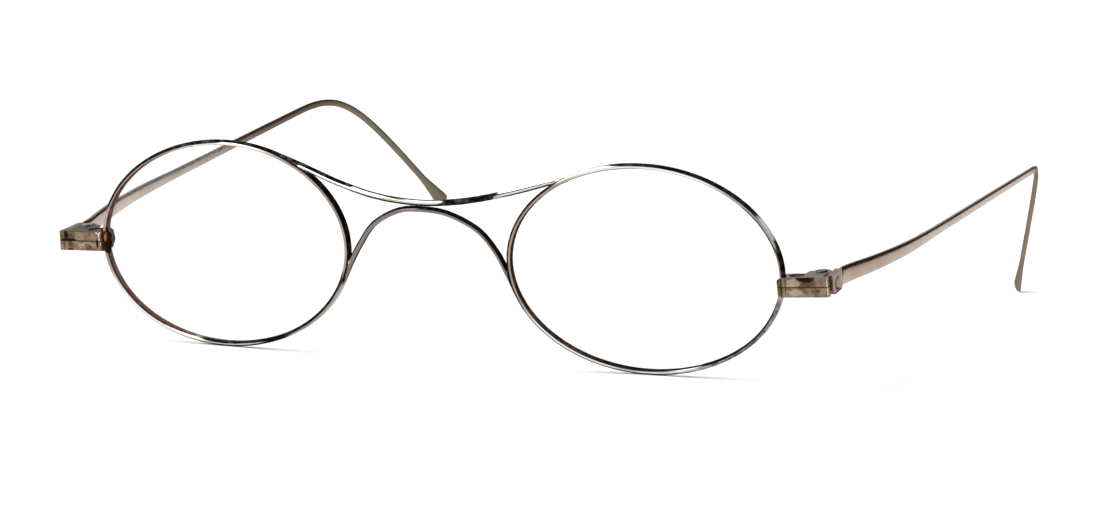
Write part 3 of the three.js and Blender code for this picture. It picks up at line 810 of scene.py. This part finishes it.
def arcs(turn, rows):
    """The largest amount that the arcs give at a turn round the eye."""
    largest = 0
    for middle, half, amount in rows:
        away = abs((turn - middle + 180) % 360 - 180)
        largest = max(largest, amount * eased(half - away, -ARC_SOFT / 2, ARC_SOFT / 2))
    return largest


def edge_lines(turn, outside, rows):
    """The largest amount of black tarnish and painted dark reflection that the rows give on one edge of the
    wire.
    """
    largest = 0
    for *arc, start in rows:
        largest = max(largest, arcs(turn, [arc]) * eased(outside, start - BLACK_SOFT, start + BLACK_SOFT))
    return largest


def rim_finish(side):
    find = eye_finder(side)

    def amounts(place, _):
        turn, outside, front = find(place)
        inside = max(eased(outside, *RUST_INSIDE), abs(front) < GROOVE_HALF)
        # black tarnish and painted dark reflection along the outer and inner edges
        outer_tarnish_and_reflection = edge_lines(turn, outside, OUTER_BLACK[side])
        inner_tarnish_and_reflection = edge_lines(turn, -outside, INNER_BLACK[side])
        return {
            "rust": inside * arcs(turn, RIM_RUST[side]),
            "cool": arcs(turn, RIM_COOL[side]),
            "bright": eased(outside, *BRIGHT_FRONT) * (1 - inside) * arcs(turn, RIM_BRIGHT[side]),
            "glint": eased(outside, *GLINT_OUTSIDE) * arcs(turn, RIM_GLINT[side]),
            "film": max(outer_tarnish_and_reflection, inner_tarnish_and_reflection),
        }

    return amounts


def bridge_finish(place, normal):
    """A black patch all round, with film and painted dark reflection above or below on the stretch, dip and
    rise beside it.
    """
    along = place.x / MM
    middle, half = BRIDGE_PATCH
    first, last = BRIDGE_STRETCH
    away = abs(along - PATCH_SLANT * normal.z - middle)
    patch = 1 - eased(away, half * PATCH_EDGE[0], half * PATCH_EDGE[1])
    starts = (first, last, middle + half)
    begun = [eased(along, start - STRETCH_SOFT, start + STRETCH_SOFT) for start in starts]
    in_stretch, in_dip, in_rise = begun
    amounts = {
        "stretch": in_stretch * eased(along, last + STRETCH_END_SOFT, last - STRETCH_END_SOFT),
        "dip": in_dip * eased(along, middle, middle - half),
        "rise": in_rise,
    }
    # film and painted dark reflection, by the upward slope of the surface
    films_and_reflections = [share * amounts[name] * eased(normal.z, start, full) for name, share, start, full in BRIDGE_FILM_AND_REFLECTION]
    bright = BRIDGE_BRIGHT + BRIDGE_BRIGHTER * max(amounts["stretch"], amounts["rise"])
    return {"film": max(patch, *films_and_reflections), "bright": bright * eased(normal.z, *BRIDGE_BRIGHT_SLOPE)}


def arch_finish(place, normal):
    """Black film and painted dark reflection along the outer side of the arch, and more faintly along the
    inner side of its left leg.
    """
    middle_x, middle_z = ARCH_MIDDLE
    away = Vector((place.x / MM - middle_x, 0, place.z / MM - middle_z)).normalized()
    # film and painted dark reflection on the side facing away from the arch's middle
    outwards = away.dot(normal)
    left_leg = eased(place.x / MM, *ARCH_LEFT_LEG)
    inner = left_leg * ARCH_INNER_AMOUNT * eased(outwards, *ARCH_INNER)
    return {"film": max(eased(outwards, *ARCH_OUTER), inner)}


def temple_finish(side):
    start, full, largest = HOOK_FILM[side]
    return lambda place, _: {"film": largest * eased(place.y / MM, start, full)}


def make_crust(name, middle, size, finish):
    """A lump of rust on the end of the left rim."""
    bench = end_bench("left")
    work = bmesh.new()
    bmesh.ops.create_icosphere(work, subdivisions=CRUST_DIVISIONS, radius=1)
    for vert in work.verts:
        lump = sum((height * noise.noise(vert.co * count) for height, count in CRUST_BUMPS), 1)
        spread = [along * half * lump for along, half in zip(vert.co, size)]
        vert.co = bench @ (Vector(spread) + Vector(middle))
    bmesh.ops.reverse_faces(work, faces=work.faces)
    for face in work.faces:
        face.smooth = True
    mesh = bpy.data.meshes.new(name)
    work.to_mesh(mesh)
    work.free()
    placed(mesh, finish, "front")


def make_side(side, steels, glass):
    """The rim, temple, end piece, knuckle, screws and lens of one side."""
    wire(f"{side}_eyewire", steels["polished_steel"], to_worn_rim(side), rim_finish(side))
    wire(f"{side}_temple", steels["temple_steel"], to_quads, temple_finish(side))
    end_steel = end_material(side)
    for part in ("upper_end_piece", "lower_end_piece"):
        edged(dressed(f"{side}_{part}", end_steel, to_flats), PLATE_BEVEL)
    edged(dressed(f"{side}_knuckle", knuckle_material(side), to_flats), PLATE_BEVEL)
    for part, finish in (("closing_screw", "black_steel"), ("hinge_screw", "dark_steel")):
        edged(dressed(f"{side}_{part}", steels[finish], to_flats), SCREW_BEVEL)
    lens = frame["nodes"][f"{side}_lens"]
    lens.data.materials.clear()
    lens.data.materials.append(glass)
    lens.visible_shadow = False


def make_spectacles():
    steels = {name: steel_material(name, *row) for name, row in STEELS.items()}
    glass = glass_material()
    wire("bridge_wire", steels["polished_steel"], to_wire, bridge_finish)
    wire("nose_arch", steels["arch_steel"], to_wire, arch_finish)
    for side in SIDES:
        make_side(side, steels, glass)
    crust = crust_material()
    for number, (middle, size) in enumerate(CRUST_LUMPS, 1):
        make_crust(f"rust_crust_{number}", middle, size, crust)


# Stage, light and camera
def make_floor():
    work = bmesh.new()
    bmesh.ops.create_grid(work, x_segments=8, y_segments=8, size=FLOOR_SIZE)
    mesh = bpy.data.meshes.new("floor")
    work.to_mesh(mesh)
    work.free()
    mesh.materials.append(floor_material())
    floor = bpy.data.objects.new("floor", mesh)
    floor.location.z = -FLOOR_DROP
    bpy.context.scene.collection.objects.link(floor)


def lit(strength):
    return tuple(part * strength for part in LIGHT_COLOUR)


def within(tree, angle, half, soft):
    """1 where an angle is inside a half range in degrees, falling to 0 over a soft edge."""
    size = math_node(tree, "ABSOLUTE", angle)
    return ramp(tree, size, math.radians(half + soft), math.radians(half))


def make_studio():
    """A dim room whose left half is one soft light, with cards in it, and a pale backdrop."""
    world = bpy.data.worlds.new("studio")
    world.use_nodes = True
    bpy.context.scene.world = world
    tree = world.node_tree
    parts = split_up(tree, add_node(tree, "ShaderNodeTexCoord").outputs["Generated"])
    azimuth = math_node(tree, "ARCTAN2", parts["X"], times(tree, parts["Y"], -1.0))
    elevation = math_node(tree, "ARCSINE", parts["Z"])
    left = ramp(tree, parts["X"], LIGHT_EDGE + LIGHT_SOFT, LIGHT_EDGE - LIGHT_SOFT)
    light = mixed(tree, left, lit(ROOM_STRENGTH), lit(LIGHT_STRENGTH))
    for turn, rise, half_wide, half_high, soft, strength in CARDS.values():
        across = minus(tree, azimuth, math.radians(turn))
        inputs = {0: across, 1: math.pi, 2: -math.pi}
        wrapped = add_node(tree, "ShaderNodeMath", inputs, operation="WRAP").outputs["Value"]
        upwards = minus(tree, elevation, math.radians(rise))
        wide, high = within(tree, wrapped, half_wide, soft), within(tree, upwards, half_high, soft)
        light = mixed(tree, times(tree, wide, high), light, lit(strength))
    seen = add_node(tree, "ShaderNodeLightPath").outputs["Is Camera Ray"]
    put(tree, tree.nodes["Background"].inputs["Color"], mixed(tree, seen, light, lit(BACKDROP_STRENGTH)))


def make_camera():
    data = bpy.data.cameras.new("photo")
    data.sensor_width = SENSOR_WIDTH
    data.lens = CAMERA_LENS
    data.clip_start = CAMERA_NEAREST
    camera = bpy.data.objects.new("photo", data)
    turn = Matrix.Rotation(math.radians(CAMERA_AZIMUTH), 4, "Z")
    tilt = Matrix.Rotation(math.radians(90 - CAMERA_ELEVATION), 4, "X")
    roll = Matrix.Rotation(math.radians(CAMERA_ROLL), 4, "Z")
    camera.matrix_world = Matrix.Translation(CAMERA_PLACE) @ turn @ tilt @ roll
    bpy.context.scene.collection.objects.link(camera)
    bpy.context.scene.camera = camera


make_spectacles()
make_floor()
make_studio()
make_camera()
bpy.context.scene.view_settings.view_transform = "Standard"

bpy.context.view_layer.update()
